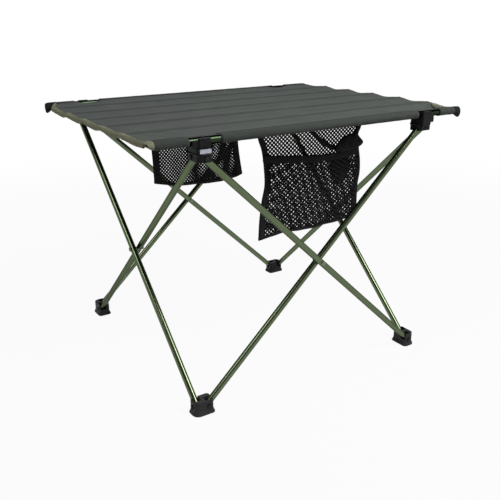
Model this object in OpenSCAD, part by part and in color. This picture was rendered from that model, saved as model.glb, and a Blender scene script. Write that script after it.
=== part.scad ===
// Folding camp kitchen table. Four pairs of crossed legs run round a square, each pair riveted at its
// crossing and to moulded feet and hubs at the corners. A fabric top on two rails clips onto the hubs
// and carries two mesh pockets. +X runs along the rails, -Y is the pocket side, the floor is at Z = 0.

/* [Frame] */
// Distance between the corner centres along each side
corner_span = 416; // [396:1:436]
// Height of the rail axis above the floor
rail_height = 410; // [390:1:430]
// Height of the pivots in the feet
foot_pivot_height = 12; // [11:0.5:14]
// Height of the rail axis above the pivots in the hubs
hub_pivot_drop = 22; // [21:0.5:26]
// Distance from a corner centre to a pivot, along the side
pivot_inset = 5.5; // [5:0.5:7]
// Distance from the corner centres out to the middle plane of a side
side_offset = 4.3; // [4:0.1:5]
// How far the leg frame sits to the left of the top's middle
frame_shift = 7; // [0:0.5:7]

/* [Legs] */
// Outer diameter of a leg tube
leg_d = 10; // [9:0.25:10.5]
// Wall of a leg tube
leg_wall = 1; // [0.8:0.1:1.4]
// Gap between the two legs of a pair where they cross
leg_gap = 0.6; // [0.4:0.1:1.2]
// Length of tube past its end pivots
leg_end = 5; // [4.5:0.25:5.5]
// Lean from the vertical of a folded leg, in degrees
folded_lean = 3.6; // [3.6:0.1:8]

/* [Feet and hubs] */
// Wall outside a leg slot
block_wall = 2; // [1.6:0.1:2.6]
// Distance from a corner centre to the inner faces of a block
block_reach = 14; // [13:0.5:15]
// Radius of the upright edges of a block
block_edge_r = 4; // [2:0.5:5]
// Radius of a block's outer upright edge
block_corner_r = 8; // [5:0.5:8]
// Clearance between a leg and each side of its slot
slot_gap = 0.4; // [0.3:0.05:0.6]
// Height of a foot
foot_height = 22.5; // [21:0.5:26]
// How far the sole stands out round a foot
sole_flare = 2.5; // [1:0.5:4]
// Height of the flare at the sole
sole_h = 6; // [4:0.5:7]
// Thickness of the sole's upright edge
sole_edge = 1; // [0.5:0.25:2]
// Depth of a hub below its pivots
hub_skirt = 5; // [4:0.5:8]
// Width of the raised rim round a hub
rim_h = 2; // [1:0.5:2.5]
// How far the rim stands out
rim_out = 1; // [0.5:0.25:1.5]
// Length of the blank label on the front left hub
label_w = 17; // [12:0.5:18]
// Height of the blank label
label_h = 5.5; // [4:0.5:6]
// Thickness of the blank label
label_t = 0.6; // [0.4:0.1:1]

/* [Fasteners] */
// Diameter of a rivet's shank
rivet_d = 4; // [3:0.1:4.5]
// Diameter of a rivet's head
rivet_head_d = 6.8; // [6:0.1:7]
// Height of a rivet's head
rivet_head_h = 1.4; // [1:0.1:2]
// Radial clearance of a rivet in its bores
pin_gap = 0.05; // [0.02:0.01:0.08]
// Clearance under the head of a rivet that a leg turns on
head_gap = 0.3; // [0.3:0.05:0.6]
// Diameter of a clip screw
screw_d = 3; // [2.5:0.1:3.5]
// Diameter of a clip screw's head
screw_head_d = 5.6; // [5:0.1:6.2]
// Length of a clip screw below its head
screw_length = 6; // [4:0.5:6]

/* [Rail clips] */
// Distance of each clip's middle from the middle of the leg frame
clip_middle = 203; // [200:0.5:206]
// Width of a clip along the rail
clip_w = 17; // [14:0.5:18]
// Width of the cheek beside a clip, on its outer side
cheek_w = 9; // [6:0.5:11]
// How far the cheek's outer face stands back from the clip's
cheek_back = 2; // [1:0.5:2.5]
// How far the cheek's top stands below the clip's
cheek_top_drop = 2.5; // [1:0.5:4]
// How far the cheek of an overhanging clip reaches below the clip's floor
cheek_drop = 5; // [2:0.5:6]
// Material under the rail
clip_floor = 2.7; // [2.2:0.1:3.5]
// Distance from the rail axis to the outer face of a clip
clip_out = 10.5; // [10:0.5:12]
// Distance from the rail axis to the inner face of a clip
clip_in = 8; // [7.5:0.5:9]
// Height of the inner lip, below the rail axis
inner_lip_drop = 2; // [1:0.5:4]
// Clearance round the rail in its clip
seat_gap = 0.3; // [0.3:0.05:0.5]
// Clearance on each side of the rail in its clip's mouth, less than in the seat
mouth_gap = 0.2; // [0.15:0.05:0.25]
// Slant of the clip's mouth outwards, in degrees from the vertical
mouth_slant = 15; // [14.5:0.5:18]

/* [Top] */
// Length of the top along the rails
top_length = 580; // [560:1:620]
// Outer diameter of a rail
rail_d = 10; // [9:0.25:10.5]
// Wall of a rail
rail_wall = 1; // [0.8:0.1:1.4]
// Distance from a rail's end to the end of the top
rail_end = 14; // [12:0.5:18]
// Thickness of the fabric panel
panel_t = 1.2; // [0.8:0.1:1.6]
// Thickness of a sleeve
sleeve_wall = 1; // [0.8:0.1:1.4]
// Clearance between a rail and its sleeve
sleeve_gap = 0.2; // [0.1:0.05:0.4]
// Distance from the rail axis to the seam of its sleeve
sleeve_seam = 10; // [9:0.5:13]
// Room in a sleeve's cut-out on the inner side of a clip
cutout_in = 5.5; // [5.5:0.5:8]
// Room in a sleeve's cut-out on the outer side of a cheek
cutout_out = 3; // [3:0.5:8]
// Distance from the rail axis to the panel's edge in a cut-out
cutout_edge = 1.5; // [1:0.25:3]
// Length of sewn sleeve between a cut-out and a slanted corner
lip_past = 30; // [22:1:34]
// Least length of loose sleeve between a slanted corner and its tab
tail_least = 4; // [3:0.5:6]
// Length of the slanted corners across the rails
corner_cut_y = 52; // [40:1:64]
// Width of the edge binding
binding_w = 10; // [8:0.5:11]
// Thickness of the binding tape
binding_t = 1; // [0.6:0.1:1]
// How far the binding hangs below the panel
binding_drop = 7; // [4:0.5:10]
// Distance from a sleeve's bound end to the end of the top
sleeve_end = 3; // [2:0.5:6]
// Distance from a sleeve's loose end to the end of the top
loose_end = 9; // [7:0.5:10]
// Length of the tab at a sleeve's loose end
tab_length = 14; // [11:0.5:16]
// How far a tab hangs below the rail axis
tab_drop = 12; // [9:0.5:14]
// Distance from a tab's lowest point to its end
tab_point = 2; // [1:0.5:5]
// Width of a tab
tab_w = 7; // [5:0.5:9]
// Thickness of the tape round a sleeve that carries a tab
tab_wall = 0.8; // [0.6:0.1:1.2]
// Length of a rail plug's spigot
plug_length = 8; // [5:0.5:12]
// Thickness of a rail plug's flange
plug_flange = 2; // [1:0.5:3]

/* [Stiffening rods] */
// Diameter of a rod
rod_d = 6; // [5:0.25:7]
// Wall of the sewn channel round a rod
channel_wall = 1; // [1:0.1:1.4]
// Clearance between a rod and its channel
channel_gap = 0.1; // [0.05:0.05:0.2]
// Length of bare rod between its channel and its tip
bare_length = 11; // [8:0.5:16]
// Distance from a rod's tip to the edge of the panel
tip_inset = 2; // [1:0.5:6]
// Length of a rod's tip
tip_length = 11; // [8:0.5:14]

/* [Mesh pockets] */
// Distance of the pockets' back sheets in front of the middle
pocket_front = 120; // [116:1:124]
// Depth of a pocket from its back sheet to its front sheet
pocket_depth = 11; // [8:0.5:14]
// Thickness of a mesh sheet
mesh_t = 1.2; // [0.8:0.1:1.6]
// Distance from the left end of the top to the small pocket
small_inset = 54; // [50:1:64]
// Width of the small pocket
small_w = 147; // [130:1:156]
// Gap between the small pocket and the leg under it
small_leg_gap = 3.5; // [3:0.5:8]
// Depth of the small pocket's mouth below the top
small_mouth_drop = 18; // [14:1:30]
// Gap between the two pockets
pocket_gap = 30; // [20:1:40]
// Width of the large pocket
large_w = 212; // [190:1:220]
// Depth of the large pocket below the top
large_drop = 194; // [170:1:210]
// Depth of the large pocket's mouth below the top
large_mouth_drop = 68; // [50:1:90]
// Height of the binding at the large pocket's mouth
mouth_band = 9; // [6:0.5:12]

/* [Hidden] */
$fn = 64;
corners = ["fl", "fr", "br", "bl"];
sides = ["front", "right", "back", "left"];
rods = [1, 2, 3, 4, 5];

// How far a cut runs past the face that it opens
over = 1;

// Frame
corner_half = corner_span / 2;
pivot_half = corner_half - pivot_inset;
hub_pivot_height = rail_height - hub_pivot_drop;
mid_height = (hub_pivot_height + foot_pivot_height) / 2;
run = 2 * pivot_half;
rise = hub_pivot_height - foot_pivot_height;
lean = atan2(run, rise);
leg_length = sqrt(run * run + rise * rise);
rail_y = corner_half + side_offset;
lane = (leg_d + leg_gap) / 2;
outer_lane = rail_y + lane;
inner_lane = rail_y - lane;

// Blocks, seen from a corner centre at the pivots' height, legs hanging towards +X and +Y
slot_half = leg_d / 2 + slot_gap;
slot_end_r = norm([leg_end, leg_d / 2]) + slot_gap;
outer_slot = -side_offset - lane;
inner_slot = lane - side_offset;
block_far = outer_slot - slot_half - block_wall;
block_near = inner_slot - slot_half - block_wall;
far_length = 3 * block_reach;
outer_pin_end = pivot_inset - slot_end_r - pin_gap;
inner_pin_end = block_reach - block_wall;
rail_bottom = rail_d / 2 + seat_gap;
hub_roof = hub_pivot_drop - rail_bottom - clip_floor;
rim_z = rivet_head_d / 2 + rim_out;

// Top
half_length = top_length / 2;
panel_z = rail_height + rod_d / 2 + channel_wall;
panel_x = half_length - binding_t;
panel_y = rail_y - sleeve_seam;
sleeve_r = rail_d / 2 + sleeve_gap + sleeve_wall;
cut_inner = clip_middle - frame_shift - clip_w / 2 - cutout_in;
cut_outer = clip_middle + frame_shift + clip_w / 2 + cheek_w + cutout_out;
bound_end = half_length - sleeve_end;
tail_end = half_length - loose_end;
lip_end = min(cut_outer + lip_past, tail_end - tab_length - tail_least);
corner_cut_x = panel_x - lip_end;
rod_pitch = 2 * rail_y / (len(rods) + 1);
cut_normal = [corner_cut_y, -corner_cut_x] / norm([corner_cut_x, corner_cut_y]);

// Pockets
pocket_face = pocket_front + pocket_depth;
leg_top = hub_pivot_height - (pivot_half - pocket_face) * rise / run + leg_d / 2 / sin(lean);
small_left = small_inset - half_length;
small_right = small_left + small_w;
small_bottom = leg_top + small_leg_gap;
small_mouth = panel_z - small_mouth_drop;
large_left = small_right + pocket_gap;
large_right = large_left + large_w;
large_bottom = panel_z - large_drop;
large_mouth = panel_z - large_mouth_drop;

// Colours
black_plastic = [0.16, 0.16, 0.17];
olive = [0.36, 0.44, 0.29];
steel = [0.45, 0.45, 0.45];
charcoal = [0.35, 0.36, 0.36];
khaki = [0.49, 0.49, 0.37];
mesh_black = [0.1, 0.1, 0.1];
pale_grey = [0.65, 0.67, 0.74];

// Shared shapes

module on_frame() {
    translate([-frame_shift, 0, 0]) children();
}

module at_corner(i, height) {
    on_frame() rotate([0, 0, 90 * i]) translate([-corner_half, -corner_half, height]) children();
}

// A foot is a hub's block turned upside down about the corner's diagonal
module at_foot(i) {
    at_corner(i, foot_pivot_height) rotate(180, [1, 1, 0]) children();
}

module at_hub(i) {
    at_corner(i, hub_pivot_height) children();
}

module at_side(i) {
    on_frame() rotate([0, 0, 90 * i]) translate([0, 0, mid_height]) children();
}

module round_rect(low, high, r) {
    translate(low + [r, 0]) square([high[0] - low[0] - 2 * r, high[1] - low[1]]);
    translate(low + [0, r]) square([high[0] - low[0], high[1] - low[1] - 2 * r]);
    for (x = [low[0] + r, high[0] - r], y = [low[1] + r, high[1] - r]) translate([x, y]) circle(r);
}

module block_plan(grow) {
    low = [block_near - grow, block_far - grow];
    high = [block_reach + grow, block_reach + grow];
    corner_r = block_corner_r + grow;
    difference() {
        round_rect(low, high, block_edge_r + grow);
        difference() {
            translate(low - [over, over]) square(corner_r + over);
            translate(low + [corner_r, corner_r]) circle(corner_r);
        }
    }
}

module block(low, high, grow = 0) {
    translate([0, 0, low]) linear_extrude(high - low) block_plan(grow);
}

// Room for a leg that pivots at the origin and swings in the XZ plane from its spread to its folded lean
module leg_slot() {
    spread = [sin(lean), -cos(lean)];
    folded = [sin(folded_lean), -cos(folded_lean)];
    upper = slot_half * [cos(lean), sin(lean)];
    lower = -slot_half * [cos(folded_lean), sin(folded_lean)];
    rotate([90, 0, 0]) linear_extrude(2 * slot_half, center = true) {
        circle(slot_end_r);
        polygon([upper, upper + far_length * spread, lower + far_length * folded, lower]);
    }
}

// A cylinder along +Y or +X between two coordinates
module bar_y(d, from, to) {
    translate([0, from, 0]) rotate([-90, 0, 0]) cylinder(d = d, h = to - from);
}

module bar_x(d, from, to) {
    translate([from, 0, 0]) rotate([0, 90, 0]) cylinder(d = d, h = to - from);
}

module block_cuts() {
    bore = rivet_d + 2 * pin_gap;
    translate([pivot_inset, outer_slot, 0]) leg_slot();
    translate([inner_slot, pivot_inset, 0]) rotate([0, 0, 90]) leg_slot();
    translate([pivot_inset, 0, 0]) bar_y(bore, block_far - over, outer_pin_end + pin_gap);
    translate([0, pivot_inset, 0]) bar_x(bore, block_near - over, inner_pin_end + pin_gap);
}

// The two rivets of a block: one through its outer slot, one through its inner slot
module block_rivets() {
    color(steel) {
        translate([pivot_inset, 0, 0]) {
            bar_y(rivet_d, block_far, outer_pin_end);
            bar_y(rivet_head_d, block_far - rivet_head_h, block_far);
        }
        translate([0, pivot_inset, 0]) {
            bar_x(rivet_d, block_near, inner_pin_end);
            bar_x(rivet_head_d, block_near - rivet_head_h, block_near);
        }
    }
}

module tube_x(outer, inner, from, to) {
    difference() {
        bar_x(outer, from, to);
        bar_x(inner, from - over, to + over);
    }
}

// Leg frame

module foot(i) {
    floor_z = foot_pivot_height;
    flare_z = floor_z - sole_h;
    color(black_plastic) at_foot(i) difference() {
        union() {
            block(floor_z - foot_height, floor_z - sole_edge);
            hull($fn = 32) {
                block(floor_z - sole_edge, floor_z, sole_flare);
                block(flare_z - sole_edge, flare_z);
            }
        }
        block_cuts();
    }
}

module foot_rivets(i) {
    at_foot(i) block_rivets();
}

module hub(i) {
    clip_inset = corner_half - clip_middle;
    screw_at = i % 2 == 0 ? [clip_inset, -side_offset] : [-side_offset, clip_inset];
    color(black_plastic) at_hub(i) difference() {
        union() {
            block(-hub_skirt, hub_roof);
            block(rim_z, rim_z + rim_h, rim_out);
        }
        block_cuts();
        translate([screw_at[0], screw_at[1], hub_roof - screw_length])
            cylinder(d = screw_d, h = 2 * screw_length);
    }
}

module hub_rivets(i) {
    at_hub(i) block_rivets();
}

module blank_label() {
    label_x = (block_near + block_reach - label_w) / 2;
    label_z = (rim_z + rim_h + hub_roof - label_h) / 2;
    color(pale_grey) at_hub(0) translate([label_x, block_far - label_t, label_z])
        cube([label_w, label_t, label_h]);
}

// Places a shape drawn round the rail axis, outwards along -Y, at corner i's clip
module at_clip(i) {
    x = (i == 0 || i == 3) ? -clip_middle : clip_middle;
    on_frame() translate([x, 0, rail_height]) rotate([0, 0, i < 2 ? 0 : 180])
        translate([0, -rail_y, 0]) children();
}

// Section of a clip, with a bracket that hangs in front of the hub
module clip_profile(out, top, bracket_h) {
    low = -rail_bottom - clip_floor;
    mouth_half = rail_d / 2 + mouth_gap;
    bracket_t = out + side_offset + block_near - rim_out;
    difference() {
        union() {
            translate([-out, low]) square([out, top - low]);
            translate([-out, low]) square([out + clip_in, -inner_lip_drop - low]);
            if (bracket_h > 0) translate([-out, low - bracket_h]) square([bracket_t, bracket_h]);
        }
        circle(rail_bottom);
        rotate(mouth_slant) translate([-mouth_half, 0]) square([2 * mouth_half, 2 * rail_d]);
    }
}

module clip_slice(from, to, out, top, bracket_h) {
    translate([from, 0, 0]) rotate([90, 0, 90]) linear_extrude(to - from) clip_profile(out, top, bracket_h);
}

module rail_clip(i) {
    head_h = (screw_head_d - screw_d) / 2;
    overhangs = i % 2 == 1;
    color(black_plastic) at_clip(i) difference() {
        mirror([overhangs ? 0 : 1, 0, 0]) {
            clip_slice(-clip_w / 2, clip_w / 2, clip_out, rail_d / 2, overhangs ? hub_roof - rim_z : 0);
            clip_slice(clip_w / 2, clip_w / 2 + cheek_w, clip_out - cheek_back,
                rail_d / 2 - cheek_top_drop, overhangs ? cheek_drop : 0);
        }
        translate([0, 0, -rail_bottom - clip_floor - over])
            cylinder(d = screw_d, h = clip_floor + 2 * over);
        translate([0, 0, -rail_bottom - head_h]) cylinder(d1 = screw_d, d2 = screw_head_d, h = head_h);
        translate([0, 0, -rail_bottom]) cylinder(d = screw_head_d, h = rail_bottom);
    }
}

module clip_screw(i) {
    head_h = (screw_head_d - screw_d) / 2;
    tip_z = -rail_bottom - clip_floor - screw_length;
    color(steel) at_clip(i) {
        translate([0, 0, tip_z]) cylinder(d = screw_d, h = screw_length + clip_floor - head_h);
        translate([0, 0, -rail_bottom - head_h]) cylinder(d1 = screw_d, d2 = screw_head_d, h = head_h);
    }
}

module leg(i, outward) {
    length = leg_length + 2 * leg_end;
    bore = rivet_d + 2 * pin_gap;
    color(olive) at_side(i) translate([0, outward ? -outer_lane : -inner_lane, 0])
        rotate([0, outward ? -lean : lean, 0]) difference() {
            cylinder(d = leg_d, h = length, center = true);
            cylinder(d = leg_d - 2 * leg_wall, h = length + 2 * over, center = true);
            for (z = [-leg_length / 2, 0, leg_length / 2]) translate([0, 0, z]) bar_y(bore, -leg_d, leg_d);
        }
}

module cross_rivet(i) {
    outer_face = -outer_lane - leg_d / 2;
    inner_face = -inner_lane + leg_d / 2 + head_gap;
    color(steel) at_side(i) {
        bar_y(rivet_d, outer_face, inner_face);
        bar_y(rivet_head_d, outer_face - rivet_head_h, outer_face);
        bar_y(rivet_head_d, inner_face, inner_face + rivet_head_h);
    }
}

// Fabric top

// Places a shape drawn round the front rail's axis at the front, or turned half round at the back
module at_rail(back) {
    rotate([0, 0, back ? 180 : 0]) translate([0, -rail_y, rail_height]) children();
}

module rail(back) {
    color(olive) at_rail(back)
        tube_x(rail_d, rail_d - 2 * rail_wall, rail_end - half_length, half_length - rail_end);
}

module rail_plugs() {
    spigot_d = rail_d - 2 * rail_wall - 2 * pin_gap;
    face = half_length - rail_end;
    color(black_plastic) for (back = [false, true], end = [0, 180]) at_rail(back) rotate([0, 0, end]) {
        bar_x(spigot_d, face - plug_length, face);
        bar_x(rail_d, face, face + plug_flange);
    }
}

module panel_plan() {
    cut_corner = [[lip_end, -panel_y], [panel_x, corner_cut_y - panel_y]];
    polygon(concat([[-panel_x, -panel_y]], cut_corner, [[panel_x, panel_y]], -1 * cut_corner));
}

module top_panel() {
    color(charcoal) translate([0, 0, panel_z]) linear_extrude(panel_t) panel_plan();
}

// Section of a sleeve: a loop round the rail and a lip that is sewn to the panel
module sleeve_section(loop, lip) {
    lip_from = loop ? 0 : cutout_edge;
    difference() {
        union() {
            if (loop) circle(sleeve_r);
            if (lip) translate([lip_from, panel_z - rail_height]) square([sleeve_seam - lip_from, panel_t]);
        }
        circle(rail_d / 2 + sleeve_gap);
    }
}

module sleeve_piece(from, to, loop = true, lip = true) {
    translate([from, 0, 0]) rotate([90, 0, 90]) linear_extrude(to - from) sleeve_section(loop, lip);
}

module sleeve(back) {
    color(charcoal) at_rail(back) {
        sleeve_piece(-bound_end, -cut_outer);
        sleeve_piece(-cut_outer, -cut_inner, loop = false);
        sleeve_piece(-cut_inner, cut_inner);
        sleeve_piece(cut_inner, cut_outer, loop = false);
        sleeve_piece(cut_outer, lip_end);
        sleeve_piece(lip_end, tail_end - tab_length, lip = false);
    }
}

module sleeve_tabs() {
    collar_r = sleeve_r + tab_wall;
    color(mesh_black) for (back = [false, true]) at_rail(back) difference() {
        union() {
            bar_x(2 * collar_r, tail_end - tab_length, tail_end);
            rotate([90, 0, 0]) linear_extrude(tab_w, center = true)
                polygon([[tail_end - tab_length, 0], [tail_end - tab_point, -tab_drop], [tail_end, 0]]);
        }
        bar_x(rail_d + 2 * sleeve_gap, tail_end - tab_length - over, tail_end + over);
    }
}

// The panel's right edge, from its back corner round the slanted front corner, moved out by d
function edge_line(d) =
    let (turn = ([1, 0] + cut_normal) / (1 + cut_normal[0]))
    [[panel_x + d, panel_y],
     [panel_x, corner_cut_y - panel_y] + d * turn,
     [lip_end + d / cut_normal[0], -panel_y]];

// Plan of a strip along that edge, from d inside or on it to the outside of the tape
module edge_strip(d) {
    inner_line = edge_line(d);
    polygon(concat(edge_line(binding_t), [for (k = [2, 1, 0]) inner_line[k]]));
}

// The tape folds over the panel's edge and hangs below it
module binding(left) {
    color(khaki) rotate([0, 0, left ? 180 : 0]) difference() {
        union() {
            translate([0, 0, panel_z - binding_t]) linear_extrude(panel_t + 2 * binding_t)
                edge_strip(binding_t - binding_w);
            translate([0, 0, panel_z - binding_drop]) linear_extrude(binding_drop) edge_strip(0);
        }
        translate([0, 0, panel_z]) linear_extrude(panel_t) panel_plan();
    }
}

// Stiffening rods, each from tip to tip inside the panel's edges

function rod_y(k) = (k - (len(rods) + 1) / 2) * rod_pitch;
function edge_x(y) = min(panel_x, lip_end + (y + panel_y) * corner_cut_x / corner_cut_y);
function right_end(k) = edge_x(rod_y(k) - rod_d / 2) - tip_inset;
function left_end(k) = -right_end(len(rods) + 1 - k);

module at_rod(k) {
    translate([0, rod_y(k), rail_height]) children();
}

module rod(k) {
    color(steel) at_rod(k) bar_x(rod_d, left_end(k) + tip_length, right_end(k) - tip_length);
}

module rod_channels() {
    back = tip_length + bare_length;
    bore = rod_d + 2 * channel_gap;
    color(charcoal) for (k = rods) at_rod(k)
        tube_x(rod_d + 2 * channel_wall, bore, left_end(k) + back, right_end(k) - back);
}

module rod_tips() {
    color(mesh_black) for (k = rods) at_rod(k) {
        bar_x(rod_d, left_end(k), left_end(k) + tip_length);
        bar_x(rod_d, right_end(k) - tip_length, right_end(k));
    }
}

// Mesh pockets

module pocket_back(left, right, bottom) {
    color(mesh_black) translate([left, -pocket_front, bottom])
        cube([right - left, mesh_t, panel_z - bottom]);
}

// Front sheet with its sides and bottom, open upwards and closed at the back by the back sheet
module pocket_front_sheet(left, right, bottom, mouth) {
    color(mesh_black) translate([left, -pocket_face, bottom]) difference() {
        cube([right - left, pocket_depth, mouth - bottom]);
        translate([mesh_t, mesh_t, mesh_t]) cube([right - left - 2 * mesh_t, pocket_depth, mouth - bottom]);
    }
}

module large_pocket_band() {
    color(mesh_black) translate([large_left, -pocket_face - mesh_t, large_mouth - mouth_band])
        cube([large_right - large_left, mesh_t, mouth_band]);
}

for (i = [0:3]) {
    foot(i);
    foot_rivets(i);
    hub(i);
    hub_rivets(i);
    rail_clip(i);
    clip_screw(i);
    leg(i, true);
    leg(i, false);
    cross_rivet(i);
}
for (k = rods) rod(k);
blank_label();
rail(false);  // rail_front
rail(true);  // rail_back
rail_plugs();
top_panel();
sleeve(false);  // sleeve_front
sleeve(true);  // sleeve_back
sleeve_tabs();
binding(true);  // binding_left
binding(false);  // binding_right
rod_channels();
rod_tips();
pocket_back(small_left, small_right, small_bottom);  // small_pocket_back
pocket_front_sheet(small_left, small_right, small_bottom, small_mouth);  // small_pocket_front
pocket_back(large_left, large_right, large_bottom);  // large_pocket_back
pocket_front_sheet(large_left, large_right, large_bottom, large_mouth);  // large_pocket_front
large_pocket_band();
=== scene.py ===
import math

import bpy
import numpy as np
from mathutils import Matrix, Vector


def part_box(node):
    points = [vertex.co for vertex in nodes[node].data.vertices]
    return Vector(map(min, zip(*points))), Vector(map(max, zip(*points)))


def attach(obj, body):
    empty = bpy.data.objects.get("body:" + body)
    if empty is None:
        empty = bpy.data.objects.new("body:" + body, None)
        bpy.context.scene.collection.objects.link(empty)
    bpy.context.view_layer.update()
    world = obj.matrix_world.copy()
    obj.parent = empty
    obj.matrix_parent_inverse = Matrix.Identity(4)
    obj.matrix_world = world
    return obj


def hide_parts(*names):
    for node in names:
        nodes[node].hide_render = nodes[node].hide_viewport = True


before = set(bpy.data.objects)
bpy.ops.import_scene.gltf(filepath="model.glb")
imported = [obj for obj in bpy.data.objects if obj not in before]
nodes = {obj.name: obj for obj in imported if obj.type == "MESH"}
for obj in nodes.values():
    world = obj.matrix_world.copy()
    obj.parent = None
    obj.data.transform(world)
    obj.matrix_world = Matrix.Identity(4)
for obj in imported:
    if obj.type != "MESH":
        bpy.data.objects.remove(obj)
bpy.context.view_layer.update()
print("frame loaded")


# Shader helpers

class Wire:  # one shader socket, so that node maths reads as an expression
    def __init__(self, graph, socket):
        self.graph = graph
        self.socket = socket

    def math(self, operation, *values):
        return self.graph.node("ShaderNodeMath", {"operation": operation}, dict(enumerate(values)))

    def __add__(self, other):
        return self.math("ADD", self, other)

    def __sub__(self, other):
        return self.math("SUBTRACT", self, other)

    def __rsub__(self, other):
        return self.math("SUBTRACT", other, self)

    def __mul__(self, other):
        return self.math("MULTIPLY", self, other)

    def __truediv__(self, other):
        return self.math("DIVIDE", self, other)

    def __abs__(self):
        return self.math("ABSOLUTE", self)

    def sine(self):
        return self.math("SINE", self)

    def fraction(self):
        return self.math("FRACT", self)

    def larger(self, other):
        return self.math("MAXIMUM", self, other)

    def rise(self, low, high):  # 0 up to low, 1 from high on, smooth between
        inputs = {"Value": self, "From Min": low, "From Max": high}
        return self.graph.node("ShaderNodeMapRange", {"interpolation_type": "SMOOTHSTEP"}, inputs)

    __radd__ = __add__
    __rmul__ = __mul__


class Graph:  # the nodes of one material or of the world
    def __init__(self, tree):
        self.tree = tree

    def fill(self, made, inputs):  # a wire is linked, anything else is set as a value
        for key, value in inputs.items():
            if isinstance(value, Wire):
                self.tree.links.new(value.socket, made.inputs[key])
            else:
                made.inputs[key].default_value = value

    def node(self, kind, settings, inputs, output=0):  # any node, with its settings set first
        made = self.tree.nodes.new(kind)
        for key, value in settings.items():
            setattr(made, key, value)
        self.fill(made, inputs)
        return Wire(self, made.outputs[output])

    def split(self, vector):  # a vector's three parts
        first = self.node("ShaderNodeSeparateXYZ", {}, {0: vector})
        return [Wire(self, socket) for socket in first.socket.node.outputs]

    def noise(self, where, scale, detail, stretch=(1, 1, 1)):
        moved = self.node("ShaderNodeMapping", {}, {"Vector": where, "Scale": stretch})
        return self.node("ShaderNodeTexNoise", {}, {"Vector": moved, "Scale": scale, "Detail": detail})

    def mix(self, share, first, second):
        return self.node("ShaderNodeMix", {"data_type": "RGBA"}, {0: share, 6: first, 7: second}, 2)

    def bump(self, height, distance, strength):
        return self.node("ShaderNodeBump", {}, {"Height": height, "Distance": distance, "Strength": strength})

    def seenDirectly(self):  # 1 for camera, glossy and transmission rays, 0 for scattered light
        seen = self.node("ShaderNodeLightPath", {}, {}, "Is Camera Ray")
        for kind in ("Is Glossy Ray", "Is Transmission Ray"):
            seen = seen.larger(self.node("ShaderNodeLightPath", {}, {}, kind))
        return seen


class Paint(Graph):  # a finish made of maths on a piece's own coordinates
    def __init__(self, name, slotName):
        self.material = bpy.data.materials.new(name)
        self.material.use_nodes = True
        super().__init__(self.material.node_tree)
        self.slotName = slotName
        self.shader = self.tree.nodes["Principled BSDF"]
        self.place = self.node("ShaderNodeTexCoord", {}, {}, "Object")
        self.flat = self.node("ShaderNodeTexCoord", {}, {}, "UV")

    def surface(self, **sockets):  # fills the main shader, spaces in socket names written as underscores
        self.fill(self.shader, {key.replace("_", " "): value for key, value in sockets.items()})
        return self


# Shape helpers

mm = 0.001  # outlines are listed in millimetres
tiny = 1e-12  # keeps a length from being 0


def nodeBox(name):  # the lowest and the highest corner of a node
    low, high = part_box(name)
    return np.array(low), np.array(high)


def smoothStep(t):  # 0 up to 0, 1 from 1 on, with level ends
    t = np.clip(t, 0, 1)
    return t * t * (3 - 2 * t)


def runLengths(steps):  # distance from the start at each point
    return np.concatenate([[0], np.cumsum(steps)])


def pathRun(path):  # distance along a path of points
    return runLengths(np.linalg.norm(np.diff(path, axis=0), axis=1))


def gridFaces(rows, columns):  # one face for each square between four points of a grid
    corner = np.arange(rows - 1)[:, None] * columns + np.arange(columns - 1)[None, :]
    return np.stack([corner, corner + 1, corner + columns + 1, corner + columns], -1).reshape(-1, 4)


def gridShape(points):  # a grid with its mean lengths along rows and columns as UV
    along = np.linalg.norm(np.diff(points, axis=0), axis=-1).mean(1)
    across = np.linalg.norm(np.diff(points, axis=1), axis=-1).mean(0)
    uv = np.stack(np.broadcast_arrays(runLengths(across)[None, :], runLengths(along)[:, None]), -1)
    return points, gridFaces(*points.shape[:2]), uv


def planShape(points):  # a grid with its x and y as UV
    return points, gridFaces(*points.shape[:2]), points[..., :2]


def joined(parts):  # several (points, faces, uv) shapes as one
    start = runLengths([len(part[0].reshape(-1, 3)) for part in parts])
    points = np.concatenate([part[0].reshape(-1, 3) for part in parts])
    faces = np.concatenate([part[1] + start[k] for k, part in enumerate(parts)])
    uv = np.concatenate([part[2].reshape(-1, 2) for part in parts])
    return points, faces, uv


def gridNormals(points):  # the cross product of a grid's two directions, at length 1
    normal = np.cross(np.gradient(points, axis=1), np.gradient(points, axis=0))
    return normal / np.maximum(np.linalg.norm(normal, axis=-1, keepdims=True), tiny)


def smoothPath(points, count):  # Catmull-Rom curve through the points
    knots = np.asarray(points, float)
    last = len(knots) - 1
    t = np.linspace(0, last, count)
    k = np.minimum(t.astype(int), last - 1)
    f = (t - k)[:, None]
    a, b, c, d = [knots[np.clip(k + i, 0, last)] for i in (-1, 0, 1, 2)]
    return b + 0.5 * f * (c - a + f * (2 * a - 5 * b + 4 * c - d + f * (3 * b - a - 3 * c + d)))


def rings(x, y, z):  # one ring of points at each place x along the table
    return np.stack([np.broadcast_to(x[:, None], y.shape), y, z], -1)


# A mesh from a shape, with its UV map, finish, wall, body and the nodes that it stands for
def makePiece(name, shape, paint, body, replaced=(), thick=0.0, offset=0.0):
    points, faces, uv = shape
    mesh = bpy.data.meshes.new(name)
    mesh.from_pydata(points.reshape(-1, 3).tolist(), [], faces.tolist())
    corner = np.zeros(len(mesh.loops), np.int32)
    mesh.loops.foreach_get("vertex_index", corner)
    layer = mesh.uv_layers.new(name="flat")
    layer.data.foreach_set("uv", uv.reshape(-1, 2)[corner].ravel().astype(np.float32))
    mesh.shade_smooth()
    mesh.materials.append(paint.material)
    obj = bpy.data.objects.new(name, mesh)
    bpy.context.scene.collection.objects.link(obj)
    if thick:
        wall = obj.modifiers.new("thickness", "SOLIDIFY")
        wall.thickness = thick
        wall.offset = offset
    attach(obj, body)
    if replaced:
        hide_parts(*replaced)
    return obj


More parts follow.
